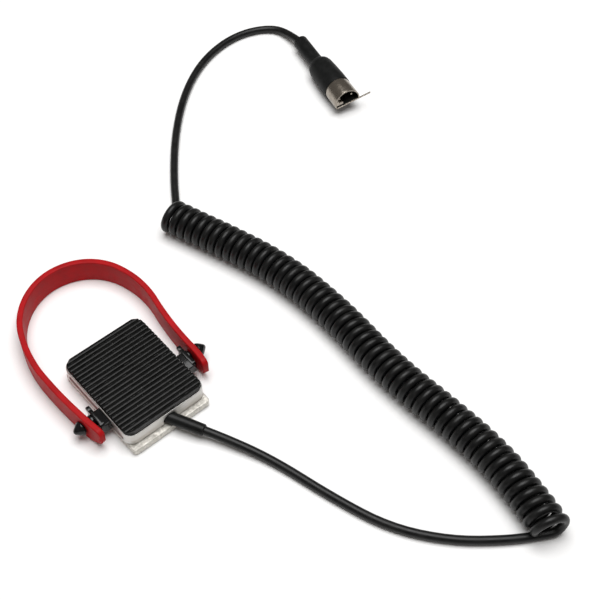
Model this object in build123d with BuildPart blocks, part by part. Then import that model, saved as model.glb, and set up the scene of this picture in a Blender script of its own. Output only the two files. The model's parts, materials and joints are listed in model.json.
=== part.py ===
"""Wrist contact on a strap: a ribbed rubber pad on a small cast housing, a red elastomer
loop that swings on two barbed studs, and a curly cord to a round metal-shell plug.

Millimetres. The origin is the centre of the base plate's underside. X runs along the
studs' common axis, +Y points away from the cord outlet, +Z is up.
"""
import math
import os

from build123d import *

os.makedirs("parts", exist_ok=True)

MIN_Z = (Align.CENTER, Align.CENTER, Align.MIN)
UP = Vector(0, 0, 1)
SIDES = ((-1, "left"), (1, "right"))

# ---- driving dimensions -------------------------------------------------------------------
# contact pad and the plate under it
pad_w = 37.7
pad_l = 45.9
pad_corner = 3.9
pad_base = 1.3
rib_h = 0.9
rib_count = 22
rib_pitch = 2.09
groove_w = 0.75
contact_t = 0.3

# housing
mid_y = 1.2
rim = 0.45
fit_gap = 0.1
cover_h = 6.1
pocket_depth = 1.1
deck_t = 0.7
wall = 1.8
rim_round = 0.3
gasket_t = 0.3
plate_t = 3.6
floor_t = 1.4
lip = 2.5
plate_inset = 0.4
plate_corner = 1.6
channel_depth = 0.6
channel_h = 2.6

# strap, studs and anchors
stud_y = -3.4
stud_z = 6.1
shank_r = 1.0
block_t = 2.6
block_l = 8.8
block_h = 5.2
block_y = -5.8
flange_t = 1.7
flange_l = 10.4
flange_h = 6.8
flange_y = -4.8
ear_l = 1.0
ear_h = 2.2
collar_bevel = 0.25
collar_r = 2.8
neck_r = 2.0
neck_start = 24.9
neck_end = 29.0
barb_r = 3.2
barb_tip = 32.9
strap_w = 11.9
strap_t = 2.6
strap_hole_r = 2.08
strap_end = (25.46, -14.0)
strap_splay = 11.6

# cord
cord_r = 1.85
coil_r = 7.85
floor_gap = 0.05
bore_r = 1.87
sleeve_r = 2.6
sleeve_end_r = 2.5
sleeve_neck_r = 2.15
lead_r = 0.55

# plug
shell_r = 6.6
shell_t = 0.6
shell_out = 10.2
shell_l = 14.6
shell_flat_drop = 1.2
shell_roll = -9
boot_r = 6.85
shoulder_r = 6.3
tail_r = 3.7
pin_r = 0.6
pin_x = 3.3
pin_y = 1.9
insulator_face = 8.9
insulator_t = 4.5
tongue_t = 0.6
tongue_s = 0.3

# fasteners
screw_r = 1.0
board_screw_r = 0.75

# ---- worked-out sizes ---------------------------------------------------------------------
cover_w = pad_w + 2 * rim
cover_l = pad_l + 2 * rim
cover_corner = pad_corner + rim
side_x = cover_w / 2
front_y = mid_y - cover_l / 2
cover_z = plate_t + gasket_t
cover_top = cover_z + cover_h
pocket_z = cover_top - pocket_depth
pad_z = pocket_z + contact_t
pad_top = pad_z + pad_base + rib_h
ceiling_z = pocket_z - deck_t
cavity_w = cover_w - 2 * wall
cavity_l = cover_l - 2 * wall
cavity_corner = cover_corner - wall
plate_w = cover_w - 2 * plate_inset
plate_front_y = front_y - lip
plate_back_y = mid_y + cover_l / 2 - plate_inset
boss_r = 2.3
boss_x = cavity_w / 2 - boss_r - 0.1
boss_y = cavity_l / 2 - boss_r - 0.1
boss_places = [(sx * boss_x, mid_y + sy * boss_y) for sx in (-1, 1) for sy in (-1, 1)]
floor_cord_z = cord_r + floor_gap


def turned(origin, direction, outline):
    """A solid of revolution. The outline is a closed list of (distance along the axis, radius)."""
    axis_dir = Vector(direction).normalized()
    side = UP.cross(axis_dir).normalized()
    with BuildPart() as lathe:
        with BuildSketch(Plane(origin=origin, x_dir=axis_dir, z_dir=-side)):
            with BuildLine():
                Polyline(*outline, close=True)
            make_face()
        revolve(axis=Axis(origin, axis_dir))
    return lathe.part


def level(height):
    """The plane at a height over the housing's centre, which lies mid_y behind the origin."""
    return Plane(origin=(0, mid_y, height))


def write(part, label):
    """Label a finished piece and write it as its own file."""
    part.label = label
    export_step(part, f"parts/{label}.step")


# ---- cord sleeve: its axis is needed by the housing ---------------------------------------
sleeve_tip = Vector(8.0, -35.3, 4.6)
sleeve_in = Vector(-0.4734, 0.8765, 0.0764).normalized()
sleeve_stop_y = front_y + 0.8
sleeve_neck_end_y = front_y + wall + 1.2
stub_l = 20.0

with BuildPart() as sleeve_bore:
    add(turned(sleeve_tip, sleeve_in, [(-2, 0), (stub_l, 0), (stub_l, sleeve_r + fit_gap),
                                       (-2, sleeve_r + fit_gap)]))
    split(bisect_by=Plane(origin=(0, sleeve_stop_y + 0.05, 0), z_dir=(0, -1, 0)))

with BuildPart() as neck_bore:
    with BuildSketch(Plane(origin=sleeve_tip, x_dir=UP.cross(sleeve_in), z_dir=sleeve_in)):
        Circle(sleeve_neck_r + 0.05)
        with Locations((0, -sleeve_neck_r)):
            Rectangle(2 * sleeve_neck_r + 0.1, 2 * sleeve_neck_r)
    extrude(amount=stub_l)

# ---- base plate ---------------------------------------------------------------------------
standoff_top = 2.6
standoff_r = 1.6
board_y = 6.5
board_screw_places = [(-9.6, board_y), (9.6, board_y)]
countersink_r = 1.9
countersink_h = 1.1

with BuildPart() as base_plate:
    with BuildSketch():
        with Locations((0, (plate_front_y + plate_back_y) / 2)):
            RectangleRounded(plate_w, plate_back_y - plate_front_y, plate_corner)
    extrude(amount=plate_t)
    chamfer(base_plate.faces().sort_by(Axis.Z)[0].outer_wire().edges(), 0.4)
    with BuildSketch(level(floor_t)):
        RectangleRounded(cavity_w, cavity_l, cavity_corner)
    extrude(amount=plate_t, mode=Mode.SUBTRACT)
    for x, y in board_screw_places:
        with Locations((x, y, floor_t)):
            Cylinder(standoff_r, standoff_top - floor_t, align=MIN_Z)
        with Locations((x, y, floor_t - 0.6)):
            Cylinder(board_screw_r + 0.05, standoff_top, align=MIN_Z, mode=Mode.SUBTRACT)
    for x, y in boss_places:
        with Locations((x, y, floor_t)):
            Cylinder(boss_r, plate_t - floor_t, align=MIN_Z)
        with Locations((x, y, 0)):
            Cylinder(screw_r + 0.15, plate_t, align=MIN_Z, mode=Mode.SUBTRACT)
            Cone(countersink_r + 0.15, screw_r + 0.15, countersink_h, align=MIN_Z, mode=Mode.SUBTRACT)
    add(sleeve_bore.part, mode=Mode.SUBTRACT)
write(base_plate.part, "base_plate")

with BuildPart() as seam_gasket:
    with BuildSketch(level(plate_t)):
        RectangleRounded(plate_w, cover_l - 2 * plate_inset, cover_corner)
        RectangleRounded(cavity_w, cavity_l, cavity_corner, mode=Mode.SUBTRACT)
    extrude(amount=gasket_t)
    add(sleeve_bore.part, mode=Mode.SUBTRACT)
    add(neck_bore.part, mode=Mode.SUBTRACT)
write(seam_gasket.part, "seam_gasket")

# ---- cover --------------------------------------------------------------------------------
screw_y = stud_y - 4.6
rivet_y = 9.0
bush_r = 2.0

with BuildPart() as cover:
    with BuildSketch(level(cover_z)):
        RectangleRounded(cover_w, cover_l, cover_corner)
    extrude(amount=cover_h)
    fillet(cover.faces().sort_by(Axis.Z)[-1].outer_wire().edges(), rim_round)
    with BuildSketch(level(pocket_z)):
        RectangleRounded(pad_w + fit_gap, pad_l + fit_gap, pad_corner)
    extrude(amount=pocket_depth, mode=Mode.SUBTRACT)
    with BuildSketch(level(cover_z)):
        RectangleRounded(cavity_w, cavity_l, cavity_corner)
    extrude(amount=ceiling_z - cover_z, mode=Mode.SUBTRACT)
    for x, y in boss_places:
        with Locations((x, y, cover_z)):
            Cylinder(boss_r, ceiling_z - cover_z, align=MIN_Z)
            Cylinder(screw_r + 0.02, ceiling_z - cover_z - 0.3, align=MIN_Z, mode=Mode.SUBTRACT)
    for side, _ in SIDES:
        with BuildSketch(Plane(origin=(side * side_x, mid_y, stud_z), x_dir=(0, 1, 0), z_dir=(side, 0, 0))):
            SlotOverall(cover_l - 2 * cover_corner, channel_h)
        extrude(amount=-channel_depth, mode=Mode.SUBTRACT)
        for y in (stud_y, screw_y):
            with Locations(Plane(origin=(side * side_x, y, stud_z), z_dir=(side, 0, 0))):
                Cylinder(screw_r + 0.05, 4 * wall, mode=Mode.SUBTRACT)
    with Locations((0, rivet_y, ceiling_z)):
        Cylinder(bush_r + 0.02, deck_t, align=MIN_Z, mode=Mode.SUBTRACT)
    add(sleeve_bore.part, mode=Mode.SUBTRACT)
    add(neck_bore.part, mode=Mode.SUBTRACT)
write(cover.part, "cover")

# ---- contact pad and the stack that carries its signal ------------------------------------
rivet_r = 1.0
rivet_head_r = 2.0
rivet_head_t = 0.3
bush_flange_r = 2.8
bush_flange_t = 0.4
rivet_foot_t = 0.4
rivet_foot_z = ceiling_z - bush_flange_t - rivet_foot_t

with BuildPart() as contact_pad:
    with BuildSketch(level(pad_z)):
        RectangleRounded(pad_w, pad_l, pad_corner)
    extrude(amount=pad_base + rib_h)
    with Locations((0, mid_y, pad_top)):
        with GridLocations(1, rib_pitch, 1, rib_count - 1):
            Box(pad_w + 2, groove_w, 2 * rib_h, mode=Mode.SUBTRACT)
    with Locations((0, rivet_y, pad_z)):
        Cylinder(rivet_head_r + 0.2, rivet_head_t + 0.05, align=MIN_Z, mode=Mode.SUBTRACT)
write(contact_pad.part, "contact_pad")

with BuildPart() as contact_plate:
    with BuildSketch(level(pocket_z)):
        RectangleRounded(pad_w, pad_l, pad_corner)
        with Locations((0, rivet_y - mid_y)):
            Circle(rivet_r + 0.02, mode=Mode.SUBTRACT)
    extrude(amount=contact_t)
write(contact_plate.part, "contact_plate")

bush_outline = [
    (-bush_flange_t, rivet_r + 0.02), (-bush_flange_t, bush_flange_r), (0, bush_flange_r),
    (0, bush_r), (deck_t, bush_r), (deck_t, rivet_r + 0.02),
]
with BuildPart() as insulating_bush:
    with BuildSketch(Plane.XZ.offset(-rivet_y)):
        with BuildLine():
            Polyline(*[(radius, ceiling_z + height) for height, radius in bush_outline], close=True)
        make_face()
    revolve(axis=Axis((0, rivet_y, 0), (0, 0, 1)))
write(insulating_bush.part, "insulating_bush")

with BuildPart() as contact_rivet:
    with Locations((0, rivet_y, rivet_foot_z)):
        Cylinder(1.6, rivet_foot_t, align=MIN_Z)
        Cylinder(rivet_r, pad_z - rivet_foot_z, align=MIN_Z)
    with Locations((0, rivet_y, pad_z)):
        Cylinder(rivet_head_r, rivet_head_t, align=MIN_Z)
write(contact_rivet.part, "contact_rivet")

# ---- circuit board and what is soldered to it ---------------------------------------------
board_w = 24.0
board_l = 17.0
board_t = 1.0
board_top = standoff_top + board_t
spring_t = 0.2

with BuildPart() as circuit_board:
    with BuildSketch(Plane.XY.offset(standoff_top)):
        with Locations((0, board_y)):
            RectangleRounded(board_w, board_l, 1.0)
        with Locations(*board_screw_places):
            Circle(board_screw_r + 0.1, mode=Mode.SUBTRACT)
    extrude(amount=board_t)
write(circuit_board.part, "circuit_board")

with BuildPart() as contact_spring:
    with BuildSketch(Plane.YZ.offset(-1.5)):
        with BuildLine():
            FilletPolyline(
                (rivet_y + 4.5, board_top + spring_t / 2),
                (rivet_y + 2.4, board_top + spring_t / 2),
                (rivet_y + 0.8, rivet_foot_z - spring_t / 2),
                (rivet_y - 0.8, rivet_foot_z - spring_t / 2),
                (rivet_y - 1.6, rivet_foot_z - 0.6),
                radius=0.3,
            )
        trace(line_width=spring_t)
    extrude(amount=3.0)
write(contact_spring.part, "contact_spring")

resistor_y = 12.0
resistor_r = 1.1
resistor_l = 5.0
resistor_z = board_top + resistor_r + 0.1
wire_tail_r = 0.3

for side, name in ((-1, "resistor_a"), (1, "resistor_b")):
    centre_x = side * 7.5
    with BuildPart() as resistor:
        with Locations(Plane(origin=(centre_x, resistor_y, resistor_z), z_dir=(1, 0, 0))):
            Cylinder(resistor_r, resistor_l)
        fillet(resistor.edges().filter_by(GeomType.CIRCLE), 0.4)
        for end in (-1, 1):
            foot = Vector(centre_x + end * 3.8, resistor_y, board_top)
            with BuildLine():
                FilletPolyline(
                    foot,
                    foot + Vector(0, 0, resistor_z - board_top),
                    (centre_x + end * 2.2, resistor_y, resistor_z),
                    radius=0.5,
                )
            with BuildSketch(Plane(origin=foot, z_dir=(0, 0, 1))):
                Circle(wire_tail_r)
            sweep()
    write(resistor.part, name)

terminal_w = 8.0
terminal_l = 5.0
terminal_h = 3.8
terminal_y = 1.0
terminal_front_y = terminal_y - terminal_l / 2
terminal_x = 2.0
wire_z = board_top + 1.6
terminal_top = board_top + terminal_h
well_depth = 1.2

with BuildPart() as terminal_block:
    with Locations((0, terminal_y, board_top)):
        Box(terminal_w, terminal_l, terminal_h, align=MIN_Z)
    chamfer(terminal_block.edges().filter_by(Axis.Z), 0.3)
    for x in (-terminal_x, terminal_x):
        with Locations(Plane(origin=(x, terminal_front_y, wire_z), z_dir=(0, 1, 0))):
            Cylinder(lead_r + 0.05, 2.4, align=MIN_Z, mode=Mode.SUBTRACT)
        with Locations((x, terminal_y, terminal_top - well_depth)):
            Cylinder(1.1, well_depth, align=MIN_Z, mode=Mode.SUBTRACT)
        with Locations((x, terminal_y, wire_z)):
            Cylinder(0.55, terminal_h, align=MIN_Z, mode=Mode.SUBTRACT)
write(terminal_block.part, "terminal_block")

with BuildPart() as terminal_screws:
    for x in (-terminal_x, terminal_x):
        with Locations((x, terminal_y, terminal_top - well_depth)):
            Cylinder(1.0, 0.9, align=MIN_Z)
        with Locations((x, terminal_y, terminal_top - well_depth + 0.9)):
            Box(2.2, 0.4, 0.8, mode=Mode.SUBTRACT)
        with Locations((x, terminal_y, wire_z + lead_r + 0.1)):
            Cylinder(0.5, terminal_top - well_depth - wire_z - lead_r, align=MIN_Z)
write(terminal_screws.part, "terminal_screws")

with BuildPart() as board_screws:
    for x, y in board_screw_places:
        with Locations((x, y, board_top)):
            Cylinder(1.5, 0.8, align=MIN_Z)
        with Locations((x, y, board_top + 0.8)):
            Box(2.0, 0.4, 0.7, mode=Mode.SUBTRACT)
        with Locations((x, y, floor_t - 0.4)):
            Cylinder(board_screw_r, board_top - floor_t + 0.4, align=MIN_Z)
write(board_screws.part, "board_screws")

with BuildPart() as cover_screws:
    for x, y in boss_places:
        with Locations((x, y, floor_gap)):
            Cone(countersink_r, screw_r, countersink_h, align=MIN_Z)
            Cylinder(screw_r, 7.3, align=MIN_Z)
        with Locations((x, y, floor_gap)):
            Box(2.2, 0.5, 1.2, mode=Mode.SUBTRACT)
            Box(0.5, 2.2, 1.2, mode=Mode.SUBTRACT)
write(cover_screws.part, "cover_screws")

# ---- strain relief, the cord inside it and its two leads ----------------------------------
grommet_x = -0.4
grommet_w = 7.0

with BuildPart() as strain_relief:
    add(turned(sleeve_tip, sleeve_in, [(0, 0), (stub_l, 0), (stub_l, sleeve_r), (10, sleeve_r),
                                       (0.5, sleeve_end_r), (0, sleeve_end_r - 0.5)]))
    split(bisect_by=Plane(origin=(0, sleeve_stop_y, 0), z_dir=(0, -1, 0)))
    add(turned(sleeve_tip, sleeve_in, [(8, 0), (stub_l, 0), (stub_l, sleeve_neck_r), (8, sleeve_neck_r)]))
    with Locations((grommet_x, (front_y + wall + sleeve_neck_end_y) / 2, (ceiling_z + floor_t) / 2)):
        Box(grommet_w, sleeve_neck_end_y - front_y - wall, ceiling_z - floor_t - 0.2)
    split(bisect_by=Plane(origin=(0, sleeve_neck_end_y, 0), z_dir=(0, -1, 0)))
    add(turned(sleeve_tip, sleeve_in, [(-1, 0), (stub_l, 0), (stub_l, bore_r), (-1, bore_r)]),
        mode=Mode.SUBTRACT)
write(strain_relief.part, "strain_relief")

with BuildPart() as cord_stub:
    add(turned(sleeve_tip, sleeve_in, [(0, 0), (stub_l, 0), (stub_l, cord_r), (0, cord_r)]))
write(cord_stub.part, "cord_stub")

stub_end = sleeve_tip + sleeve_in * stub_l
lead_side = Vector(sleeve_in.Y, -sleeve_in.X, 0).normalized()
for side, name in ((-1, "inner_lead_a"), (1, "inner_lead_b")):
    lead_start = stub_end + lead_side * (side * 0.8)
    with BuildPart() as inner_lead:
        with BuildLine():
            FilletPolyline(
                lead_start,
                lead_start + sleeve_in * 3.0,
                (side * terminal_x, terminal_front_y - 5.0, wire_z + 0.3),
                (side * terminal_x, terminal_front_y, wire_z),
                (side * terminal_x, terminal_front_y + 1.6, wire_z),
                radius=[1.5, 3.0, 1.0],
            )
        with BuildSketch(Plane(origin=lead_start, z_dir=sleeve_in)):
            Circle(lead_r)
        sweep()
    write(inner_lead.part, name)

# ---- anchors and studs, one of each on both sides -----------------------------------------
nut_flat_r = 2.0
nut_t = 1.4
anchor_screw_head_r = 1.7
anchor_screw_head_t = 1.0
anchor_screw_grip = 2.4
driver_slot_w = 0.4
block_z = stud_z + 0.2
flange_x = side_x + block_t
collar_x = flange_x + flange_t
inner_wall_x = side_x - wall
stud_root_x = inner_wall_x - nut_t - 0.6

stud_outline = [
    (stud_root_x, 0), (barb_tip, 0), (barb_tip, 0.3), (barb_tip - 0.25, 0.9),
    (neck_end + 2.4, 1.95), (neck_end + 1.2, 2.8), (neck_end + 0.5, barb_r), (neck_end, barb_r),
    (neck_end, neck_r), (neck_start, neck_r), (neck_start - 0.3, collar_r),
    (collar_x + collar_bevel, collar_r), (collar_x, collar_r - collar_bevel), (collar_x, shank_r),
    (stud_root_x, shank_r),
]
for side, name in SIDES:
    outward = Vector(side, 0, 0)
    wall_plane = Plane(origin=(side * side_x, 0, 0), x_dir=(0, 1, 0), z_dir=outward)
    with BuildPart() as anchor_block:
        with BuildSketch(wall_plane):
            with Locations((block_y, side * block_z)):
                RectangleRounded(block_l, block_h, 0.7)
        extrude(amount=block_t)
        with BuildSketch(wall_plane):
            with Locations((block_y, side * stud_z)):
                Rectangle(block_l - 1.0, channel_h - 0.2)
        extrude(amount=-(channel_depth - 0.1))
        with BuildSketch(wall_plane.offset(block_t)):
            with Locations((flange_y, side * block_z)):
                RectangleRounded(flange_l, flange_h, 1.4)
            with Locations((flange_y + flange_l / 2, side * (block_z + flange_h / 2 - ear_h / 2))):
                Rectangle(2 * ear_l, ear_h)
        extrude(amount=flange_t)
        with Locations(Plane(origin=(side * side_x, stud_y, stud_z), z_dir=outward)):
            Cylinder(shank_r + 0.05, 4 * block_h, mode=Mode.SUBTRACT)
        with Locations(Plane(origin=(side * (side_x - wall), screw_y, stud_z), z_dir=outward)):
            Cylinder(screw_r + 0.02, wall + anchor_screw_grip + 0.2, align=MIN_Z, mode=Mode.SUBTRACT)
    write(anchor_block.part, f"{name}_anchor_block")
    with BuildPart() as stud:
        add(turned((0, stud_y, stud_z), outward, stud_outline))
    write(stud.part, f"{name}_stud")

with BuildPart() as stud_nuts:
    for side, _ in SIDES:
        nut_plane = Plane(origin=(side * inner_wall_x, stud_y, stud_z), x_dir=(0, 1, 0),
                          z_dir=(-side, 0, 0))
        with BuildSketch(nut_plane):
            RegularPolygon(nut_flat_r, 6, major_radius=False)
            Circle(shank_r + 0.02, mode=Mode.SUBTRACT)
        extrude(amount=nut_t)
write(stud_nuts.part, "stud_nuts")

with BuildPart() as anchor_screws:
    for side, _ in SIDES:
        with Locations(Plane(origin=(side * inner_wall_x, screw_y, stud_z), z_dir=(-side, 0, 0))):
            Cylinder(anchor_screw_head_r, anchor_screw_head_t, align=MIN_Z)
        with Locations(Plane(origin=(side * (inner_wall_x - anchor_screw_head_t), screw_y, stud_z), z_dir=(side, 0, 0))):
            Box(driver_slot_w, 2 * driver_slot_w + 1.6, 0.8, mode=Mode.SUBTRACT)
        with Locations(Plane(origin=(side * inner_wall_x, screw_y, stud_z), z_dir=(side, 0, 0))):
            Cylinder(screw_r, wall + anchor_screw_grip, align=MIN_Z)
write(anchor_screws.part, "anchor_screws")

# ---- strap: a band on edge, two arms joined by three arcs ---------------------------------
strap_z = stud_z - strap_w / 2
strap_reach = 40
# what is cut from the tongues at both ends, as (y behind the tip, z above the studs)
strap_end_above = [(2.2, 6.0), (0.8, 5.2), (0, 3.8), (-12, 3.8), (-12, 9), (2.2, 9)]
strap_end_below = [(7.5, -6.0), (1.4, -2.4), (0, -0.6), (-12, -0.6), (-12, -9), (7.5, -9)]
# each stretch is (length, degrees it turns to the left), from the right end to the left end
strap_stretches = [
    (10.5, 11.9), (29.7, -11.5), (24.1, 30.0), (42.6, 94.9), (23.9, 43.2), (26.3, 23.1), (37.0, 8.7),
]

with BuildPart() as strap:
    with BuildSketch(Plane.XY.offset(strap_z)):
        with BuildLine():
            place = Vector(*strap_end)
            heading = Vector(1, 0).rotate(Axis.Z, 90 - strap_splay)
            for length, turn in strap_stretches:
                stretch = JernArc(place, heading, length / math.radians(abs(turn)), turn)
                place = stretch @ 1
                heading = stretch % 1
        trace(line_width=strap_t)
    extrude(amount=strap_w)
    with BuildSketch(Plane.YZ):
        for corner in (strap_end_above, strap_end_below):
            with BuildLine():
                Polyline(*[(strap_end[1] + y, stud_z + z) for y, z in corner], close=True)
            make_face()
    extrude(amount=strap_reach, both=True, mode=Mode.SUBTRACT)
    with Locations(Plane(origin=(0, stud_y, stud_z), z_dir=(1, 0, 0))):
        Cylinder(strap_hole_r, 2 * strap_reach, mode=Mode.SUBTRACT)
write(strap.part, "strap")

# ---- plug ---------------------------------------------------------------------------------
plug_mouth = Vector(173.9, 65.4, 7.5)
plug_end = Vector(185.85, 114.8, 5.4)
plug_dir = (plug_end - plug_mouth).normalized()
plug_l = (plug_end - plug_mouth).length
mouth_left = UP.cross(plug_dir).rotate(Axis((0, 0, 0), plug_dir), shell_roll)
mouth_plane = Plane(origin=plug_mouth, x_dir=mouth_left, z_dir=plug_dir)
shoulder_s = 27.8
tail_s = 32.4
cavity_s = 27.2
pin_places = [(-pin_x, pin_y), (pin_x, pin_y)]


def flat_bottomed(radius, drop):
    """The plug shell's section: a circle with everything lower than its flat cut away."""
    with BuildSketch() as section:
        Circle(radius)
        with Locations((0, -drop - radius)):
            Rectangle(3 * radius, 2 * radius, mode=Mode.SUBTRACT)
    return section.sketch


# the shell is open below, where the insulator's tongue closes it; its key fills one lower corner
shell_inner_r = shell_r - shell_t
key_s = 0.4
key_l = insulator_face - key_s - 0.2
tongue_half = math.sqrt((shell_inner_r - 0.02) ** 2 - shell_flat_drop**2)
key_left = 5.95
key_low_y = tongue_t - shell_flat_drop + 0.02

with BuildPart() as plug_shell:
    with BuildSketch(mouth_plane):
        add(flat_bottomed(shell_r, shell_flat_drop))
        add(flat_bottomed(shell_inner_r, shell_flat_drop + 0.1), mode=Mode.SUBTRACT)
    extrude(amount=shell_l)
    with BuildSketch(mouth_plane.offset(key_s)):
        for key_w, key_h in ((3.9, 1.7), (1.8, 2.8)):
            with Locations((key_left - key_w / 2, key_low_y + key_h / 2)):
                Rectangle(key_w, key_h)
    extrude(amount=key_l)
write(plug_shell.part, "plug_shell")

with BuildPart() as plug_insulator:
    with BuildSketch(mouth_plane.offset(insulator_face)):
        add(flat_bottomed(shell_inner_r - 0.02, shell_flat_drop))
        with Locations(*pin_places):
            Circle(pin_r + 0.02, mode=Mode.SUBTRACT)
    extrude(amount=insulator_t)
    with BuildSketch(mouth_plane.offset(tongue_s)):
        with Locations((0, tongue_t / 2 - shell_flat_drop)):
            Rectangle(2 * tongue_half, tongue_t)
    extrude(amount=insulator_face - tongue_s)
write(plug_insulator.part, "plug_insulator")

with BuildPart() as plug_pins:
    with BuildSketch(mouth_plane.offset(1.6)):
        with Locations(*pin_places):
            Circle(pin_r)
    extrude(amount=insulator_face + insulator_t + 1.0)
    fillet(plug_pins.faces().filter_by(GeomType.PLANE).edges(), 0.25)
write(plug_pins.part, "plug_pins")

boot_outline = [
    (shell_out, 0), (shell_out, boot_r - 0.25), (shell_out + 0.25, boot_r), (shell_l + 1.0, boot_r),
    (shoulder_s, shoulder_r), (shoulder_s + 1.8, shoulder_r - 0.45), (shoulder_s + 3.4, shoulder_r - 1.35),
    (tail_s, tail_r + 0.15), (tail_s + 0.5, tail_r), (plug_l - 0.5, tail_r), (plug_l, tail_r - 0.5),
    (plug_l, bore_r), (cavity_s, bore_r), (cavity_s, 4.8), (shell_l, 4.8), (shell_l, 0),
]
with BuildPart() as plug_boot:
    add(turned(plug_mouth, plug_dir, boot_outline))
    with BuildSketch(mouth_plane.offset(shell_out)):
        add(flat_bottomed(shell_r + 0.02, shell_flat_drop + 0.02))
    extrude(amount=shell_l - shell_out, mode=Mode.SUBTRACT)
write(plug_boot.part, "plug_boot")

stub_s = 23.0
with BuildPart() as plug_cord_stub:
    add(turned(plug_mouth, plug_dir, [(stub_s, 0), (stub_s, cord_r), (plug_l, cord_r), (plug_l, 0)]))
write(plug_cord_stub.part, "plug_cord_stub")

with BuildPart() as plug_ferrule:
    add(turned(plug_mouth, plug_dir, [(stub_s + 0.6, bore_r), (stub_s + 0.6, 2.4),
                                      (cavity_s - 0.1, 2.4), (cavity_s - 0.1, bore_r)]))
write(plug_ferrule.part, "plug_ferrule")

strip_left = 6.2
strip_right = -12.7
strip_t = 0.65
with BuildPart() as ground_strip:
    with BuildSketch(mouth_plane):
        with Locations(((strip_left + strip_right) / 2, -shell_flat_drop - strip_t / 2)):
            Rectangle(strip_left - strip_right, strip_t)
    extrude(amount=strip_t)
write(ground_strip.part, "ground_strip")


# ---- cord ---------------------------------------------------------------------------------
def cord_tube(name, points, radius):
    """A tube along straight runs joined by tangent arcs, each as large as its runs allow."""
    corners = [Vector(point) for point in points]
    runs = [after - before for before, after in zip(corners, corners[1:])]
    radii = []
    for arriving, leaving in zip(runs, runs[1:]):
        half_turn = math.radians(arriving.get_angle(leaving)) / 2
        radii.append(0.45 * min(arriving.length, leaving.length) / math.tan(half_turn))
    with BuildPart() as tube:
        with BuildLine() as route:
            FilletPolyline(*corners, radius=radii)
        with BuildSketch(Plane(origin=corners[0], z_dir=runs[0])):
            Circle(radius)
        sweep()
    length = sum(edge.length for edge in route.edges())
    print(name, "length", round(length, 1), "radii", [round(r, 1) for r in radii])
    print("  volume / (section x length):", round(tube.part.volume / (math.pi * radius**2 * length), 4))
    write(tube.part, name)
    return length


coil_z = coil_r + floor_gap
near_route = [
    sleeve_tip,
    sleeve_tip - sleeve_in * 12.0,
    (21.5, -63.5, floor_cord_z),
    (28.0, -89.5, floor_cord_z),
    (36.0, -113.5, floor_cord_z),
    (50.1, -132.7, floor_cord_z),
    (67.1, -146.7, floor_cord_z),
    (79.5, -154.3, floor_cord_z),
]
coil_route = [
    (63.6, 63.9, coil_z),
    (73.5, 36.0, coil_z),
    (82.5, 6.0, coil_z),
    (84.8, -27.0, coil_z),
    (82.3, -64.0, coil_z),
    (85.9, -105.5, coil_z),
    (84.8, -132.5, coil_z),
    (79.4, -157.5, coil_z),
]
far_route = [
    (64.8, 60.0, floor_cord_z),
    (71.4, 68.0, floor_cord_z),
    (81.5, 83.5, floor_cord_z),
    (98.5, 105.3, floor_cord_z),
    (117.8, 124.3, floor_cord_z),
    (137.0, 137.0, floor_cord_z),
    (155.2, 142.0, floor_cord_z),
    (171.5, 140.6, floor_cord_z),
    (183.0, 135.2, floor_cord_z),
    plug_end + plug_dir * 11.0,
    plug_end,
]
cord_tube("cord_near", near_route, cord_r)
cord_tube("cord_coil", coil_route, coil_r)
cord_tube("cord_far", far_route, cord_r)
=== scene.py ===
"""Looks of a wrist contact with its red strap, its curly cord and its round plug.

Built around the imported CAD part, in its frame: origin under the housing's centre, X along the
studs, +Y away from the cord outlet, +Z up. Lengths are in metres, written as millimetres * MM.
"""

import json
import math

import bmesh
import bpy
from mathutils import Matrix, Vector, noise


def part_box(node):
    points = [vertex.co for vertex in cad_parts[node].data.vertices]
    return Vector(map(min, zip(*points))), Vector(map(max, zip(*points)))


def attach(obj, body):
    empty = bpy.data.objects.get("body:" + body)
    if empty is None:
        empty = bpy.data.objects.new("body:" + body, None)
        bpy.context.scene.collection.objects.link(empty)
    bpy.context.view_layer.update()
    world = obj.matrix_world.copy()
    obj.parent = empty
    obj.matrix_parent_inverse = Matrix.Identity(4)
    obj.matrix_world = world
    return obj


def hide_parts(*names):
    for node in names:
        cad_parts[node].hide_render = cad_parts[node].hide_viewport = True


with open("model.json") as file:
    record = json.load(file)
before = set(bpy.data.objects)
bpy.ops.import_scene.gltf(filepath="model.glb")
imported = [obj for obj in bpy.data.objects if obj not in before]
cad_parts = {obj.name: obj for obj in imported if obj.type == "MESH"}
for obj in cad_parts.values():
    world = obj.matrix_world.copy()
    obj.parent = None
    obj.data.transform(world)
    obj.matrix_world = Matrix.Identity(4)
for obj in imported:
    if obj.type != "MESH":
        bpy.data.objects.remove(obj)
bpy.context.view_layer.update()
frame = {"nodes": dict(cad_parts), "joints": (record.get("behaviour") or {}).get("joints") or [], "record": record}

MM = 0.001
UP = Vector((0, 0, 1))
HOUSING = "housing"
STRAP = "strap"
scene = bpy.context.scene
nodes = frame["nodes"]
mounts = {mount["name"]: mount for mount in frame["record"]["mounts"]}
swing = frame["joints"][0]


# ---- mesh helpers -------------------------------------------------------------------------
def millimetres(*values):
    """A point or direction given in millimetres, in metres."""
    return Vector(values) * MM


def new_piece(name, data):
    """An object of a mesh or curve, in the scene."""
    piece = bpy.data.objects.new(name, data)
    scene.collection.objects.link(piece)
    return piece


def mesh_piece(name, points, faces):
    """An object of a new mesh."""
    mesh = bpy.data.meshes.new(name)
    mesh.from_pydata([tuple(point) for point in points], [], faces)
    mesh.update()
    return new_piece(name, mesh)


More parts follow.
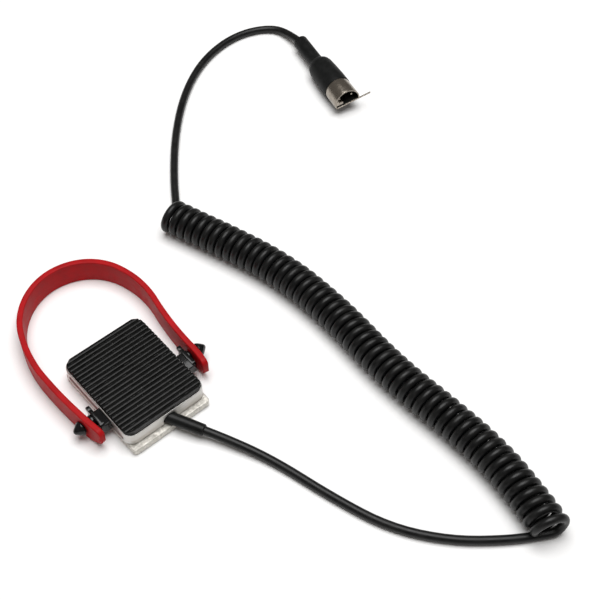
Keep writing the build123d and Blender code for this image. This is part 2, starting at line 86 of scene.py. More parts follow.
def settle(piece, sharp_angle):
    """Apply a piece's modifiers, and shade it smooth except at edges sharper than the angle."""
    bpy.context.view_layer.update()
    graph = bpy.context.evaluated_depsgraph_get()
    mesh = bpy.data.meshes.new_from_object(piece.evaluated_get(graph))
    piece.modifiers.clear()
    piece.data = mesh
    mesh.shade_smooth()
    mesh.set_sharp_from_angle(angle=math.radians(sharp_angle))
    return piece


def round_edges(piece, width):
    """A bevel modifier on the edges that turn by more than 30 degrees."""
    bevel = piece.modifiers.new("rounding", "BEVEL")
    bevel.width = width
    bevel.segments = 3
    bevel.limit_method = "ANGLE"
    bevel.angle_limit = math.radians(30)
    bevel.use_clamp_overlap = True


def cut(piece, tool):
    """Take a tool's solid out of a piece, and remove the tool."""
    boolean = piece.modifiers.new("cut", "BOOLEAN")
    boolean.operation = "DIFFERENCE"
    boolean.solver = "EXACT"
    boolean.object = tool
    bpy.context.view_layer.update()
    graph = bpy.context.evaluated_depsgraph_get()
    piece.data = bpy.data.meshes.new_from_object(piece.evaluated_get(graph))
    piece.modifiers.clear()
    bpy.data.objects.remove(tool)


def ring_faces(rings, per_ring):
    """Quads between rings of the same number of points, in order."""
    faces = []
    for ring in range(rings - 1):
        for step in range(per_ring):
            after = (step + 1) % per_ring
            low, high = ring * per_ring, (ring + 1) * per_ring
            faces.append((low + step, low + after, high + after, high + step))
    return faces


def turned_piece(name, origin, axis, outline, rounding, segments=72):
    """A solid of revolution. The outline is (distance along the axis, radius), end to end."""
    along = Vector(axis).normalized()
    across = UP.cross(along).normalized()
    upward = along.cross(across)
    points = []
    for distance, radius in outline:
        for step in range(segments):
            angle = math.tau * step / segments
            outward = across * math.cos(angle) + upward * math.sin(angle)
            points.append(Vector(origin) + along * distance + outward * radius)
    faces = ring_faces(len(outline), segments)
    faces.append(tuple(reversed(range(segments))))
    faces.append(tuple(range(len(points) - segments, len(points))))
    piece = mesh_piece(name, points, faces)
    round_edges(piece, rounding)
    return settle(piece, sharp_angle=40)


def welded_copy(node, name):
    """A copy of a CAD node with its doubled points joined and its flat faces whole."""
    shape = bmesh.new()
    shape.from_mesh(nodes[node].data)
    bmesh.ops.remove_doubles(shape, verts=shape.verts, dist=0.001 * MM)
    bmesh.ops.dissolve_limit(
        shape, angle_limit=math.radians(1), verts=shape.verts, edges=shape.edges
    )
    mesh = bpy.data.meshes.new(name)
    shape.to_mesh(mesh)
    shape.free()
    return new_piece(name, mesh)


def moulded_copy(node, name, rounding):
    """A copy of a CAD node with its edges rounded, for a moulded or stamped part."""
    piece = welded_copy(node, name)
    round_edges(piece, rounding)
    return settle(piece, sharp_angle=35)


def cast_copy(node, name, voxel, smoothing, bumps=0.0, bump_size=1.0):
    """A copy of a CAD node with the soft edges of a casting, and its uneven skin if bumps are
    given: their height, and the size of one."""
    piece = new_piece(name, nodes[node].data.copy())
    remesh = piece.modifiers.new("skin", "REMESH")
    remesh.mode = "VOXEL"
    remesh.voxel_size = voxel
    soften = piece.modifiers.new("soften", "SMOOTH")
    soften.factor = 0.5
    soften.iterations = smoothing
    settle(piece, sharp_angle=180)
    if bumps:
        places = []
        for vertex in piece.data.vertices:
            swell = noise.fractal(vertex.co / bump_size, 0.8, 2.0, 3)
            places.extend(vertex.co + vertex.normal * (bumps * swell))
        piece.data.vertices.foreach_set("co", places)
        piece.data.update()
    return piece


def finished(piece, material, slot, body, *stands_for):
    """Give a piece its material, hang it on its body and hide what it stands for. The slot is not used."""
    piece.data.materials.clear()
    piece.data.materials.append(material)
    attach(piece, body)
    if stands_for:
        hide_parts(*stands_for)
    return piece


# ---- material helpers ---------------------------------------------------------------------
class Finish:
    """A material under construction: its node tree, shader and object coordinates."""

    def __init__(self, name, **constants):
        self.material = bpy.data.materials.new(name)
        self.material.use_nodes = True
        self.tree = self.material.node_tree
        self.shader = self.tree.nodes["Principled BSDF"]
        self.place = self.tree.nodes.new("ShaderNodeTexCoord").outputs["Object"]
        self.height = None
        for socket, value in constants.items():
            self.shader.inputs[socket.replace("_", " ")].default_value = value

    def link(self, source, target):
        self.tree.links.new(source, target)

    def stretched(self, x, y, z):
        """The object coordinates with each axis multiplied, for patterns with a grain."""
        mapping = self.tree.nodes.new("ShaderNodeMapping")
        mapping.inputs["Scale"].default_value = (x, y, z)
        self.link(self.place, mapping.inputs["Vector"])
        return mapping.outputs["Vector"]

    def clouds(self, size, detail=3.0, roughness=0.55, place=None):
        """Soft noise whose features are of one size, from 0 to 1."""
        texture = self.tree.nodes.new("ShaderNodeTexNoise")
        texture.inputs["Scale"].default_value = 1 / size
        texture.inputs["Detail"].default_value = detail
        texture.inputs["Roughness"].default_value = roughness
        self.link(place or self.place, texture.inputs["Vector"])
        return texture.outputs["Fac"]

    def cells(self, size):
        """Distance to the nearest of scattered points, one to each cell of a size."""
        texture = self.tree.nodes.new("ShaderNodeTexVoronoi")
        texture.inputs["Scale"].default_value = 1 / size
        self.link(self.place, texture.inputs["Vector"])
        return texture.outputs["Distance"]

    def spread(self, value, low, high, to_low, to_high):
        """A value from one range spread over another, held at its ends."""
        mapper = self.tree.nodes.new("ShaderNodeMapRange")
        mapper.inputs["From Min"].default_value = low
        mapper.inputs["From Max"].default_value = high
        mapper.inputs["To Min"].default_value = to_low
        mapper.inputs["To Max"].default_value = to_high
        self.link(value, mapper.inputs["Value"])
        return mapper.outputs["Result"]

    def between(self, value, first, second):
        """A colour between two, by a value from 0 to 1. Either may be a colour made here."""
        mixer = self.tree.nodes.new("ShaderNodeMix")
        mixer.data_type = "RGBA"
        self.link(value, mixer.inputs["Factor"])
        for socket, colour in ((mixer.inputs[6], first), (mixer.inputs[7], second)):
            if isinstance(colour, tuple):
                socket.default_value = (*colour, 1.0)
            else:
                self.link(colour, socket)
        return mixer.outputs[2]

    def facing(self, x, y, z):
        """How squarely the surface faces a direction, from -1 to 1."""
        geometry = self.tree.nodes.new("ShaderNodeNewGeometry")
        product = self.tree.nodes.new("ShaderNodeVectorMath")
        product.operation = "DOT_PRODUCT"
        self.link(geometry.outputs["True Normal"], product.inputs[0])
        product.inputs[1].default_value = (x, y, z)
        return product.outputs["Value"]

    def product(self, first, second):
        """Two values multiplied."""
        product = self.tree.nodes.new("ShaderNodeMath")
        product.operation = "MULTIPLY"
        self.link(first, product.inputs[0])
        self.link(second, product.inputs[1])
        return product.outputs["Value"]

    def colour(self, value):
        self.link(value, self.shader.inputs["Base Color"])

    def roughness(self, value):
        self.link(value, self.shader.inputs["Roughness"])

    def bump(self, height, depth, strength=1.0):
        """Relief of a depth in metres. Calls add up."""
        relief = self.tree.nodes.new("ShaderNodeBump")
        relief.inputs["Distance"].default_value = depth
        relief.inputs["Strength"].default_value = strength
        self.link(height, relief.inputs["Height"])
        if self.height:
            self.link(self.height, relief.inputs["Normal"])
        self.height = relief.outputs["Normal"]
        self.link(self.height, self.shader.inputs["Normal"])


def two_tone(name, dark, light, patch, grain, depth, rough, **constants):
    """A finish that wanders between two tones, with a fine grain of its own depth. The patches
    and the grain have these sizes, and the roughness stays between the two of rough."""
    finish = Finish(name, **constants)
    patches = finish.clouds(patch)
    grains = finish.clouds(grain, detail=2.0)
    finish.colour(finish.between(finish.spread(patches, 0.35, 0.65, 0, 1), dark, light))
    finish.roughness(finish.spread(grains, 0.3, 0.7, rough[0], rough[1]))
    finish.bump(grains, depth)
    return finish.material


# ---- materials ----------------------------------------------------------------------------
def cover_finish():
    """Satin die-cast aluminium: soft tone patches, drawn streaks along Y tinted pinkish brown as a painted
    reflection of the red strap, and pin-head pits.
    """
    finish = Finish("cast_cover", Metallic=1.0)
    patches = finish.clouds(4 * MM)
    streaks = finish.clouds(1 * MM, detail=4.0, place=finish.stretched(0.06, 0.06, 1.6))
    pits = finish.spread(finish.cells(0.7 * MM), 0.0, 0.16, 1.0, 0.0)
    tone = finish.between(patches, (0.52, 0.51, 0.49), (0.66, 0.65, 0.63))
    # the streaks' relief is real; their pinkish brown tint is a painted reflection of the red strap
    streaked_with_strap_reflection = finish.between(finish.spread(streaks, 0.5, 0.72, 0, 0.7), tone, (0.50, 0.44, 0.41))
    finish.colour(finish.between(finish.spread(pits, 0, 1, 0, 0.35), streaked_with_strap_reflection, (0.30, 0.29, 0.28)))
    finish.roughness(finish.spread(patches, 0.3, 0.7, 0.38, 0.52))
    finish.bump(finish.clouds(0.35 * MM, detail=4.0), 0.02 * MM)
    finish.bump(streaks, 0.05 * MM, 0.5)
    return finish.material


def base_finish():
    """Raw sand-like casting: lumpy, pale, with darker hollows and a dull grain."""
    finish = Finish("cast_base", Metallic=0.75)
    lumps = finish.clouds(1.3 * MM, detail=5.0, roughness=0.6)
    grain = finish.clouds(0.25 * MM, detail=3.0)
    high_spots = finish.spread(lumps, 0.35, 0.62, 0, 1)
    worn = finish.between(high_spots, (0.46, 0.44, 0.40), (0.70, 0.68, 0.63))
    grimy = finish.spread(grain, 0.55, 0.75, 0, 0.4)
    finish.colour(finish.between(grimy, worn, (0.36, 0.34, 0.31)))
    finish.roughness(finish.spread(lumps, 0.3, 0.7, 0.62, 0.45))
    finish.bump(lumps, 0.15 * MM)
    finish.bump(grain, 0.05 * MM)
    return finish.material


def pad_finish():
    """Carbon-loaded rubber: black, its rib lips facing -Y painted paler as a highlight, patchy by a wear noise,
    with small pale specks.
    """
    finish = Finish("pad_rubber", Specular_IOR_Level=0.16)
    skin = finish.clouds(0.3 * MM, detail=3.0)
    wear = finish.clouds(3 * MM, detail=5.0, roughness=0.7, place=finish.stretched(0.35, 1.0, 1.0))
    specks = finish.spread(finish.cells(1.5 * MM), 0.04, 0.08, 1.0, 0.0)
    # painted highlight: the rib lips whose faces point to -Y are made paler, standing in for the light they catch;
    # the wear noise only makes it patchy
    edges = finish.spread(finish.facing(0.0, -1.0, 0.0), 0.2, 0.5, 0, 1)
    worn = finish.product(edges, finish.spread(wear, 0.35, 0.6, 0.25, 1))
    black = finish.between(wear, (0.0015, 0.0015, 0.0015), (0.004, 0.004, 0.0038))
    black_with_lit_lips = finish.between(finish.spread(worn, 0, 1, 0, 0.9), black, (0.025, 0.025, 0.024))
    finish.colour(finish.between(finish.spread(specks, 0, 1, 0, 0.7), black_with_lit_lips, (0.30, 0.30, 0.28)))
    finish.roughness(finish.spread(skin, 0.3, 0.7, 0.18, 0.32))
    finish.bump(skin, 0.008 * MM)
    return finish.material


def strap_finish():
    """Red elastomer: satin, with a faint chalky bloom, flow marks and a leathery micro-grain."""
    finish = Finish("strap_elastomer", Specular_IOR_Level=0.12)
    bloom = finish.clouds(5 * MM, detail=4.0)
    grain = finish.clouds(0.22 * MM, detail=2.0)
    marks = finish.clouds(2.5 * MM, detail=3.0, place=finish.stretched(0.3, 0.3, 1.5))
    bloomed = finish.spread(bloom, 0.35, 0.7, 0, 1)
    red = finish.between(bloomed, (0.33, 0.004, 0.006), (0.43, 0.006, 0.009))
    marked = finish.spread(marks, 0.56, 0.8, 0, 0.5)
    finish.colour(finish.between(marked, red, (0.30, 0.015, 0.018)))
    finish.roughness(finish.spread(bloom, 0.3, 0.7, 0.42, 0.58))
    finish.bump(grain, 0.012 * MM)
    finish.bump(marks, 0.05 * MM, 0.6)
    return finish.material


def jacket_finish():
    """Black cord jacket: satin, with fine extrusion grain and slightly worn, greyer patches."""
    finish = Finish("cord_jacket", Specular_IOR_Level=0.26)
    wear = finish.clouds(3.5 * MM, detail=4.0)
    grain = finish.clouds(0.2 * MM, detail=2.0)
    worn = finish.spread(wear, 0.4, 0.75, 0, 1)
    finish.colour(finish.between(worn, (0.004, 0.0042, 0.0044), (0.009, 0.009, 0.0088)))
    finish.roughness(finish.spread(wear, 0.3, 0.7, 0.30, 0.44))
    finish.bump(grain, 0.010 * MM)
    return finish.material


def nickel_finish():
    """Nickel-plated steel: warm grey, polished, with hairlines round it and dull spots."""
    finish = Finish("nickel", Metallic=1.0)
    spots = finish.clouds(1.6 * MM, detail=4.0)
    hairlines = finish.clouds(0.5 * MM, detail=3.0, place=finish.stretched(0.5, 6.0, 0.5))
    dulled = finish.spread(spots, 0.4, 0.75, 0, 1)
    finish.colour(finish.between(dulled, (0.36, 0.325, 0.28), (0.24, 0.21, 0.175)))
    finish.roughness(finish.spread(spots, 0.3, 0.7, 0.16, 0.34))
    finish.bump(hairlines, 0.008 * MM)
    return finish.material


gloss = {"Specular_IOR_Level": 0.2, "Coat_Weight": 0.25, "Coat_Roughness": 0.05}
dull = {"Specular_IOR_Level": 0.16}
plain = {}
metal = {"Metallic": 1.0}
finishes = {
    "cast_cover": cover_finish(),
    "cast_base": base_finish(),
    "pad_rubber": pad_finish(),
    "strap_elastomer": strap_finish(),
    "cord_jacket": jacket_finish(),
    "nickel": nickel_finish(),
}
# slot: dark tone, light tone, (patch size, grain size, grain depth) in mm, roughness, settings
two_tone_slots = {
    "gasket_rubber": (
        (0.006, 0.006, 0.006), (0.020, 0.019, 0.017), (2, 0.3, 0.05), (0.5, 0.75), plain,
    ),
    "stud_plastic": (
        (0.003, 0.003, 0.003), (0.006, 0.006, 0.0065), (2, 0.5, 0.008), (0.10, 0.18), gloss,
    ),
    "sleeve_rubber": (
        (0.004, 0.004, 0.004), (0.009, 0.009, 0.009), (2.5, 0.3, 0.015), (0.30, 0.42), dull,
    ),
    "boot_plastic": (
        (0.003, 0.0035, 0.0035), (0.007, 0.0075, 0.0075), (3, 0.22, 0.02), (0.46, 0.60), dull,
    ),
    "insulator_black": (
        (0.003, 0.003, 0.0025), (0.007, 0.007, 0.006), (1.5, 0.3, 0.02), (0.4, 0.6), dull,
    ),
    "contact_steel": (
        (0.55, 0.54, 0.52), (0.68, 0.67, 0.65), (2, 0.2, 0.008), (0.25, 0.4), metal,
    ),
    "zinc_steel": (
        (0.50, 0.50, 0.50), (0.66, 0.66, 0.63), (0.8, 0.2, 0.01), (0.28, 0.45), metal,
    ),
    "brass": (
        (0.62, 0.44, 0.17), (0.75, 0.57, 0.27), (1, 0.15, 0.006), (0.2, 0.35), metal,
    ),
    "board": (
        (0.020, 0.10, 0.045), (0.035, 0.15, 0.07), (2, 0.4, 0.015), (0.35, 0.5), plain,
    ),
    "resistor_body": (
        (0.45, 0.33, 0.20), (0.60, 0.46, 0.30), (0.8, 0.2, 0.02), (0.35, 0.5), plain,
    ),
    "terminal_plastic": (
        (0.03, 0.12, 0.30), (0.05, 0.18, 0.42), (1.5, 0.2, 0.015), (0.38, 0.5), plain,
    ),
    "insulating_nylon": (
        (0.72, 0.70, 0.62), (0.82, 0.80, 0.74), (1, 0.2, 0.01), (0.35, 0.5), plain,
    ),
    "lead_red": (
        (0.50, 0.02, 0.02), (0.62, 0.04, 0.03), (1, 0.15, 0.008), (0.35, 0.5), plain,
    ),
    "lead_white": (
        (0.70, 0.69, 0.66), (0.80, 0.79, 0.77), (1, 0.15, 0.008), (0.35, 0.5), plain,
    ),
}
for slot, (dark, light, sizes, rough, settings) in two_tone_slots.items():
    patch, grain, depth = (size * MM for size in sizes)
    finishes[slot] = two_tone(slot, dark, light, patch, grain, depth, rough, **settings)

inner_pieces = {
    "contact_steel": ["contact_plate", "contact_spring"],
    "zinc_steel": ["terminal_screws", "board_screws", "cover_screws", "stud_nuts", "anchor_screws"],
    "brass": ["contact_rivet", "plug_ferrule"],
    "board": ["circuit_board"],
    "resistor_body": ["resistor_a", "resistor_b"],
    "terminal_plastic": ["terminal_block"],
    "insulating_nylon": ["insulating_bush"],
    "lead_red": ["inner_lead_a"],
    "lead_white": ["inner_lead_b"],
    "cord_jacket": ["cord_stub", "plug_cord_stub"],
}
for slot, names in inner_pieces.items():
    for name in names:
        nodes[name].data.materials.clear()
        nodes[name].data.materials.append(finishes[slot])


# ---- camera -------------------------------------------------------------------------------
camera_place = millimetres(-132.3, -258.8, 435.6)
camera_target = millimetres(81.56, -7.45, 0)
camera_angle = 26.87

lens = bpy.data.cameras.new("camera")
lens.angle = math.radians(camera_angle)
camera = new_piece("camera", lens)
camera.location = camera_place
camera.rotation_euler = (camera_target - camera_place).to_track_quat("-Z", "Y").to_euler()
scene.camera = camera


# ---- cord ---------------------------------------------------------------------------------
cord_d = 3.7 * MM
floor_z = 1.9 * MM
coil_z = 7.9 * MM
turns = 54
steps_per_turn = 12
turn_r = coil_z - floor_z
turn_r_wander = 0.012
turn_place_wander = 0.25 * MM
# the first turns stand a little apart and lean outward, less and less over loose_turns
end_gap = 1.9 * MM
loose_spread = 0.3 * MM
loose_turns = 1.0
end_lean = 1.9 * MM

plug_axis = -Vector(mounts["plug_mouth"]["axis"])
plug_mouth = Vector(mounts["plug_mouth"]["pos_m"])
plug_end = millimetres(185.85, 114.8, 5.4)
plug_length = (plug_end - plug_mouth).length
sleeve_tip = millimetres(8.0, -35.3, 4.6)
sleeve_in = Vector((-0.4734, 0.8765, 0.0764)).normalized()


def level(height, *places):
    """Points at one height, from their X and Y in millimetres."""
    return [Vector((x * MM, y * MM, height)) for x, y in places]


near_route = [sleeve_tip, sleeve_tip - sleeve_in * 12 * MM] + level(
    floor_z,
    (21.5, -63.5),
    (28.0, -89.5),
    (36.0, -113.5),
    (50.1, -132.7),
    (67.1, -146.7),
    (79.5, -154.3),
)
coil_route = level(
    coil_z,
    (79.4, -157.5),
    (84.8, -132.5),
    (85.9, -105.5),
    (82.3, -64.0),
    (84.8, -27.0),
    (82.5, 6.0),
    (73.5, 36.0),
    (63.6, 63.9),
)
far_route = level(
    floor_z,
    (64.8, 60.0),
    (71.4, 68.0),
    (81.5, 83.5),
    (98.5, 105.3),
    (117.8, 124.3),
    (137.0, 137.0),
    (155.2, 142.6),
    (170.3, 142.3),
    (182.5, 136.8),
) + [millimetres(187.4, 128.1, 2.8), plug_end]


def nurbs_line(name, points, resolution):
    """An open smooth curve with these control points, ending at the first and the last."""
    curve = bpy.data.curves.new(name, "CURVE")
    curve.dimensions = "3D"
    spline = curve.splines.new("NURBS")
    spline.points.add(len(points) - 1)
    for control, point in zip(spline.points, points):
        control.co = (*point, 1.0)
    spline.order_u = 3
    spline.use_endpoint_u = True
    curve.resolution_u = resolution
    spline.resolution_u = resolution
    return new_piece(name, curve)


class Line:
    """Places along a curve object's own line, by distance."""

    def __init__(self, piece):
        mesh = bpy.data.meshes.new_from_object(piece)
        self.points = [vertex.co.copy() for vertex in mesh.vertices]
        self.reach = [0.0]
        for before, after in zip(self.points, self.points[1:]):
            self.reach.append(self.reach[-1] + (after - before).length)
        bpy.data.meshes.remove(mesh)

    def at(self, distance):
        """The point at a distance from the start, and the direction there."""
        index = 1
        while index < len(self.reach) - 1 and self.reach[index] < distance:
            index += 1
        before, after = self.points[index - 1], self.points[index]
        span = self.reach[index] - self.reach[index - 1]
        share = (distance - self.reach[index - 1]) / span
        return before.lerp(after, share), (after - before).normalized()


def helix(axis_line):
    """Control points of the curly part, from the near end's floor strand to the far end's. They
    lie outside the turns, because the curve cuts the corners between them."""
    length = axis_line.reach[-1]
    pitch = (length - 2 * end_gap - loose_spread) / turns
    step_angle = math.tau / steps_per_turn
    control_share = 0.75 + 0.25 * math.cos(step_angle)
    points = []
    for step in range(1, turns * steps_per_turn):
        turn = step / steps_per_turn
        angle = step * step_angle - math.pi / 2
        looseness = math.exp(-turn / loose_turns)
        wander = noise.noise(Vector((turn * 0.31, 0, 0)))
        radius = turn_r * (1 + turn_r_wander * wander)
        along = length - end_gap - pitch * (turns - turn) - loose_spread * looseness
        along += turn_place_wander * noise.noise(Vector((turn * 0.4, 7.0, 0)))
        centre, direction = axis_line.at(along)
        side = direction.cross(UP).normalized()
        swing_out = side * math.cos(angle) + UP * math.sin(angle)
        centre.z = floor_z + radius
        lean = direction * (end_lean * looseness * math.sin(math.pi * turn) ** 2)
        points.append(centre + swing_out * (radius / control_share) - lean)
    return points


coil_axis = nurbs_line("coil_axis", coil_route, 24)
helix_points = helix(Line(coil_axis))
bpy.data.objects.remove(coil_axis)

cord = nurbs_line("cord", near_route + helix_points + far_route, 5)
cord.data.bevel_depth = cord_d / 2
cord.data.bevel_resolution = 6
cord.data.use_fill_caps = True
finished(
    cord, finishes["cord_jacket"], "cord_jacket", HOUSING, "cord_near", "cord_coil", "cord_far"
)


# ---- plug ---------------------------------------------------------------------------------
shell_r = 6.6 * MM
shell_t = 0.6 * MM
shell_out = 10.2 * MM
shell_l = 14.6 * MM
shell_flat = 1.2 * MM
shell_roll = math.radians(-9)
arc_steps = 72
key_front = 0.4 * MM
key_back = 8.7 * MM
boot_r = 6.85 * MM
boot_sleeve_r = 3.7 * MM

plug_left = Matrix.Rotation(shell_roll, 3, plug_axis) @ UP.cross(plug_axis).normalized()
plug_up = plug_axis.cross(plug_left)


def in_plug(x, y, s):
    """A point of the plug's own frame: x to its left, y up, s in from its mouth."""
    return plug_mouth + plug_left * x + plug_up * y + plug_axis * s


def shell_arc(radius):
    """The shell's section at a radius: an arc over the top that ends at the flat below."""
    start = -math.asin(shell_flat / radius)
    sweep_angle = math.pi - 2 * start
    angles = [start + sweep_angle * step / arc_steps for step in range(arc_steps + 1)]
    return [(radius * math.cos(angle), radius * math.sin(angle)) for angle in angles]


def prism(name, outline, front, back, rounding):
    """A length of a section of the plug, (x, y), between two depths behind its mouth."""
    points = [in_plug(x, y, s) for s in (front, back) for x, y in outline]
    faces = ring_faces(2, len(outline))
    faces.append(tuple(reversed(range(len(outline)))))
    faces.append(tuple(range(len(outline), len(points))))
    piece = mesh_piece(name, points, faces)
    round_edges(piece, rounding)
    return settle(piece, sharp_angle=40)


# the key block's section, (x, y), with its step
key_outline = [
    (2.05 * MM, -0.58 * MM),
    (5.95 * MM, -0.58 * MM),
    (5.95 * MM, 1.1 * MM),
    (5.6 * MM, 2.2 * MM),
    (4.15 * MM, 2.2 * MM),
    (4.15 * MM, 1.1 * MM),
    (2.05 * MM, 1.1 * MM),
]
# the boot, (depth behind the mouth, radius): its front, barrel, shoulder, sleeve and cord hole
boot_outline = [
    (shell_l, 4.8 * MM),
    (shell_out, shell_r - 0.1 * MM),
    (shell_out, boot_r),
    (15.6 * MM, boot_r),
    (22.8 * MM, 6.62 * MM),
    (27.8 * MM, 6.3 * MM),
    (29.6 * MM, 5.85 * MM),
    (31.0 * MM, 4.95 * MM),
    (31.9 * MM, 4.05 * MM),
    (32.6 * MM, 3.78 * MM),
    (33.6 * MM, boot_sleeve_r),
    (43.0 * MM, boot_sleeve_r),
    (plug_length, boot_sleeve_r),
    (plug_length, 2.1 * MM),
    (plug_length - 4 * MM, 1.95 * MM),
]
boot = turned_piece(
    "plug_boot_moulded", plug_mouth, plug_axis, boot_outline, rounding=0.3 * MM, segments=96
)
finished(boot, finishes["boot_plastic"], "boot_plastic", HOUSING, "plug_boot")
shell_outline = shell_arc(shell_r) + list(reversed(shell_arc(shell_r - shell_t)))
shell = prism("plug_shell_rolled", shell_outline, 0, shell_l, rounding=0.15 * MM)
finished(shell, finishes["nickel"], "nickel", HOUSING, "plug_shell")
key = prism("plug_key", key_outline, key_front, key_back, rounding=0.3 * MM)
finished(key, finishes["nickel"], "nickel", HOUSING, "plug_shell")
strip = moulded_copy("ground_strip", "ground_strip_stamped", rounding=0.15 * MM)
finished(strip, finishes["nickel"], "nickel", HOUSING, "ground_strip")
insulator = moulded_copy("plug_insulator", "plug_insulator_moulded", rounding=0.15 * MM)
finished(insulator, finishes["insulator_black"], "insulator_black", HOUSING, "plug_insulator")
pins = moulded_copy("plug_pins", "plug_pins_turned", rounding=0.1 * MM)
finished(pins, finishes["nickel"], "nickel", HOUSING, "plug_pins")


# ---- housing ------------------------------------------------------------------------------
cover = cast_copy(
    "cover", "cover_cast", voxel=0.22 * MM, smoothing=3,
    bumps=0.03 * MM, bump_size=2.5 * MM,
)
finished(cover, finishes["cast_cover"], "cast_cover", HOUSING, "cover")
base = cast_copy(
    "base_plate", "base_plate_cast", voxel=0.25 * MM, smoothing=3,
    bumps=0.07 * MM, bump_size=1.4 * MM,
)
finished(base, finishes["cast_base"], "cast_base", HOUSING, "base_plate")
gasket = cast_copy(
    "seam_gasket", "seam_gasket_squeezed", voxel=0.15 * MM, smoothing=1,
    bumps=0.12 * MM, bump_size=1.6 * MM,
)
finished(gasket, finishes["gasket_rubber"], "gasket_rubber", HOUSING, "seam_gasket")
sleeve = cast_copy("strain_relief", "cord_sleeve", voxel=0.14 * MM, smoothing=4)
finished(sleeve, finishes["sleeve_rubber"], "sleeve_rubber", HOUSING, "strain_relief")


# ---- contact pad --------------------------------------------------------------------------
rib_pitch = 2.09 * MM
groove_count = 21
groove_w = 0.75 * MM
groove_depth = 0.9 * MM
rib_edge = 0.13 * MM
pad_corner = 3.9 * MM
ragged = 0.22 * MM
top_wave = 0.035 * MM
top_wave_size = 3.0 * MM
nick_depth = 0.10 * MM
nick_size = 0.8 * MM
columns = 60


def pad_profile(half_length):
    """Heights below the rib tops along Y: (y, depth), grooves with rounded lips."""
    profile = [
        (-half_length, rib_edge),
        (-half_length + 0.3 * rib_edge, 0.3 * rib_edge),
        (-half_length + rib_edge, 0.0),
    ]
    for groove in range(groove_count):
        centre = (groove - (groove_count - 1) / 2) * rib_pitch
        lip = groove_w / 2 + rib_edge
        side = [
            (lip, 0.0),
            (lip - 0.7 * rib_edge, 0.3 * rib_edge),
            (lip - rib_edge, rib_edge),
            (0.42 * groove_w, 0.85 * groove_depth),
            (0.3 * groove_w, groove_depth),
        ]
        profile += [(centre - x, depth) for x, depth in side]
        profile += [(centre + x, depth) for x, depth in reversed(side)]
    profile += [
        (half_length - rib_edge, 0.0),
        (half_length - 0.3 * rib_edge, 0.3 * rib_edge),
        (half_length, rib_edge),
    ]
    return profile


def ribbed_pad():
    """The pad as one closed skin: rib profile along Y, rounded outline, uneven rib ends."""
    low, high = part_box("contact_pad")
    half_w, half_l = high.x, (high.y - low.y) / 2
    mid_y = (high.y + low.y) / 2
    profile = pad_profile(half_l)
    end_drops = [(0.0, 1.0), (0.06 * MM, 0.45), (0.2 * MM, 0.08), (0.45 * MM, 0.0)]
    points = []
    for y, depth in profile:
        in_corner = min(pad_corner, max(0.0, abs(y) - (half_l - pad_corner)))
        reach = half_w - pad_corner + math.sqrt(pad_corner**2 - in_corner**2)
        sides = []
        for side in (-1, 1):
            rag = ragged * abs(noise.noise(Vector((y / MM * 0.9, side * 5.0, 0))))
            sides.append(side * (reach - rag))
        width = sides[1] - sides[0]
        across = [(sides[0] + inset, drop) for inset, drop in end_drops]
        across += [(sides[0] + width * step / columns, 0.0) for step in range(2, columns - 1)]
        across += [(sides[1] - inset, drop) for inset, drop in reversed(end_drops)]
        points.append(Vector((sides[0], mid_y + y, low.z)))
        for x, drop in across:
            wave = top_wave * noise.noise(Vector((x, y, 0)) / top_wave_size)
            wear = noise.noise(Vector((x, y * 0.6, 9.0)) / nick_size)
            nick = nick_depth * max(0.0, wear - 0.25)
            top = high.z - depth - drop * rib_edge + wave - nick
            points.append(Vector((x, mid_y + y, top)))
        points.append(Vector((sides[1], mid_y + y, low.z)))
    per_ring = len(points) // len(profile)
    faces = ring_faces(len(profile), per_ring)
    faces.append(tuple(range(per_ring)))
    faces.append(tuple(reversed(range(len(points) - per_ring, len(points)))))
    return settle(mesh_piece("contact_pad_ribbed", points, faces), sharp_angle=55)


pad = ribbed_pad()
finished(pad, finishes["pad_rubber"], "pad_rubber", HOUSING, "contact_pad")


# ---- anchors and studs --------------------------------------------------------------------
stud_y = swing["pos_m"][1]
stud_z = swing["pos_m"][2]
# the stud, (distance from the housing's middle, radius): its shank, collar, neck and barb
stud_outline = [
    (15.0 * MM, 1.0 * MM),
    (23.6 * MM, 1.0 * MM),
    (23.6 * MM, 2.62 * MM),
    (23.8 * MM, 2.8 * MM),
    (24.65 * MM, 2.8 * MM),
    (24.9 * MM, 2.55 * MM),
    (24.95 * MM, 2.05 * MM),
    (28.9 * MM, 2.0 * MM),
    (29.0 * MM, 3.1 * MM),
    (29.25 * MM, 3.2 * MM),
    (29.7 * MM, 3.12 * MM),
    (30.4 * MM, 2.75 * MM),
    (31.2 * MM, 2.15 * MM),
    (32.0 * MM, 1.45 * MM),
    (32.6 * MM, 0.9 * MM),
    (32.9 * MM, 0.3 * MM),
]
for side, name in ((-1, "left"), (1, "right")):
    block = moulded_copy(f"{name}_anchor_block", f"{name}_anchor_moulded", rounding=0.25 * MM)
    finished(block, finishes["stud_plastic"], "stud_plastic", HOUSING, f"{name}_anchor_block")
    stud = turned_piece(
        f"{name}_stud_moulded", (0, stud_y, stud_z), (side, 0, 0), stud_outline, rounding=0.08 * MM
    )
    finished(stud, finishes["stud_plastic"], "stud_plastic", HOUSING, f"{name}_stud")


# ---- strap --------------------------------------------------------------------------------
strap_start = millimetres(25.46, -14.0, 0)
strap_heading = math.radians(90 - 11.6)
strap_t = 2.6 * MM
strap_edge = 0.5 * MM
strap_hole_r = 2.08 * MM
strap_wander = 0.06 * MM
strap_wander_size = 9 * MM
tip_round = 0.45 * MM
tip_depths = (0.0, 0.08, 0.22, 0.45)
bore_reach = 40 * MM
corner_steps = 4
station_gap = 0.8 * MM
# each stretch is (length, degrees it turns to the left), from the right end to the left end
strap_stretches = [
    (10.5, 11.9),
    (29.7, -11.5),
    (24.1, 30.0),
    (42.6, 94.9),
    (23.9, 43.2),
    (26.3, 23.1),
    (37.0, 8.7),
]
